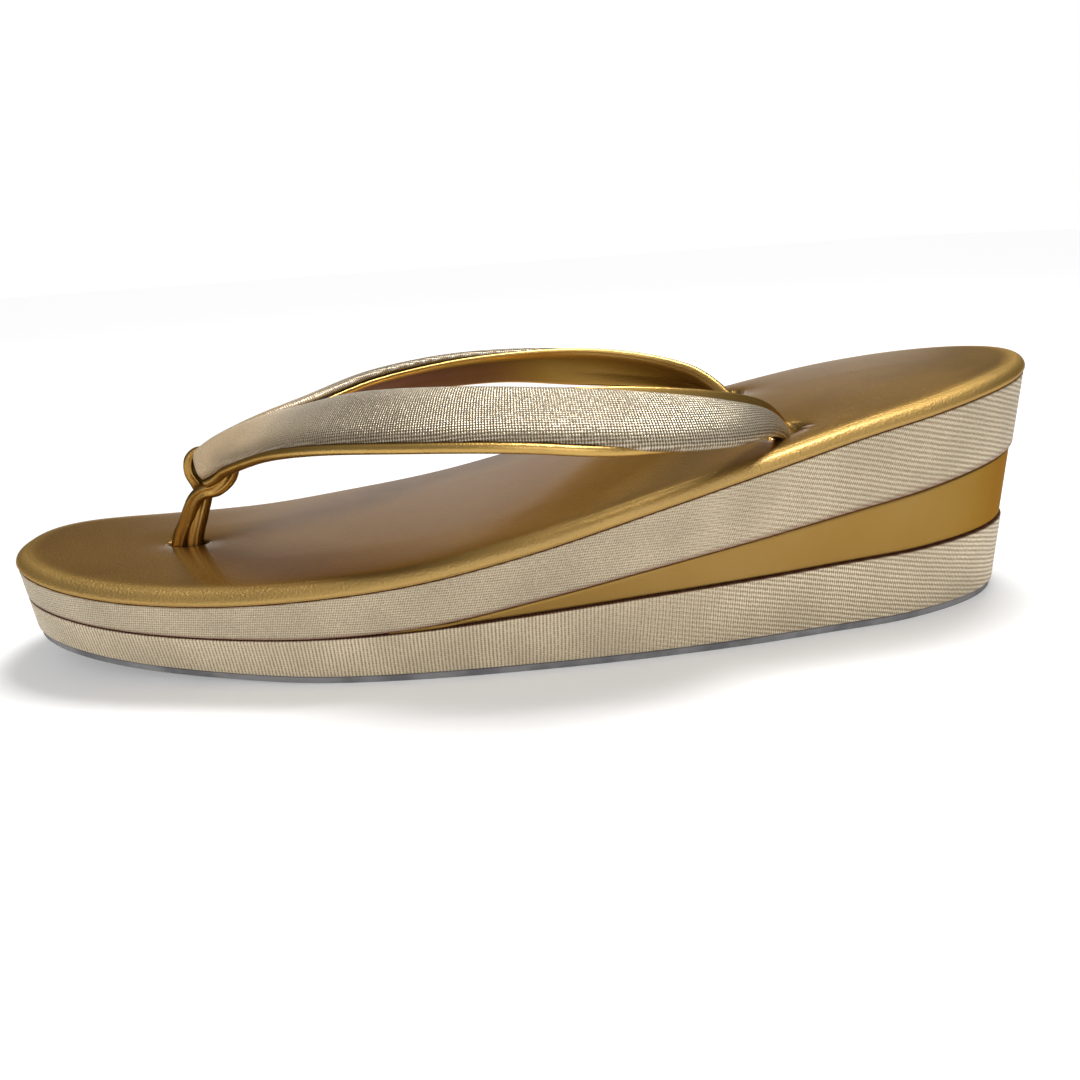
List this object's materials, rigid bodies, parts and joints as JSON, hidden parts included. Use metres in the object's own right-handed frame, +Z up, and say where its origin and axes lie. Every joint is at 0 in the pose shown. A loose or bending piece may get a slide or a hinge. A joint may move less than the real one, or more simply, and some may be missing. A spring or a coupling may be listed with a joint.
{
  "type": "zori sandal",
  "caption": "Flip-flop style zori sandal with a layered wedge sole, padded gold footbed and a two-arm thong strap held by a toe loop.",
  "frame": {"origin": "middle of the sandal's bounding box, on the ground plane it stands on", "axes": "+X towards the toe, +Y to the wearer's left, +Z up"},
  "size_m": [0.2404, 0.0982, 0.0623],
  "materials": {
    "grey_rubber": "matte grey outsole",
    "gold_leather": "satin gold leatherette",
    "pale_weave": "fine ribbed pale gold weave",
    "strap_weave": "shiny dotted silver-gold weave"
  },
  "bodies": {
    "root": {"outsole": "grey_rubber", "lower_layer": "pale_weave", "heel_wedge": "gold_leather", "upper_layer": "pale_weave", "footbed": "gold_leather", "strap": "strap_weave", "toe_loop": "gold_leather"}
  },
  "joints": []
}
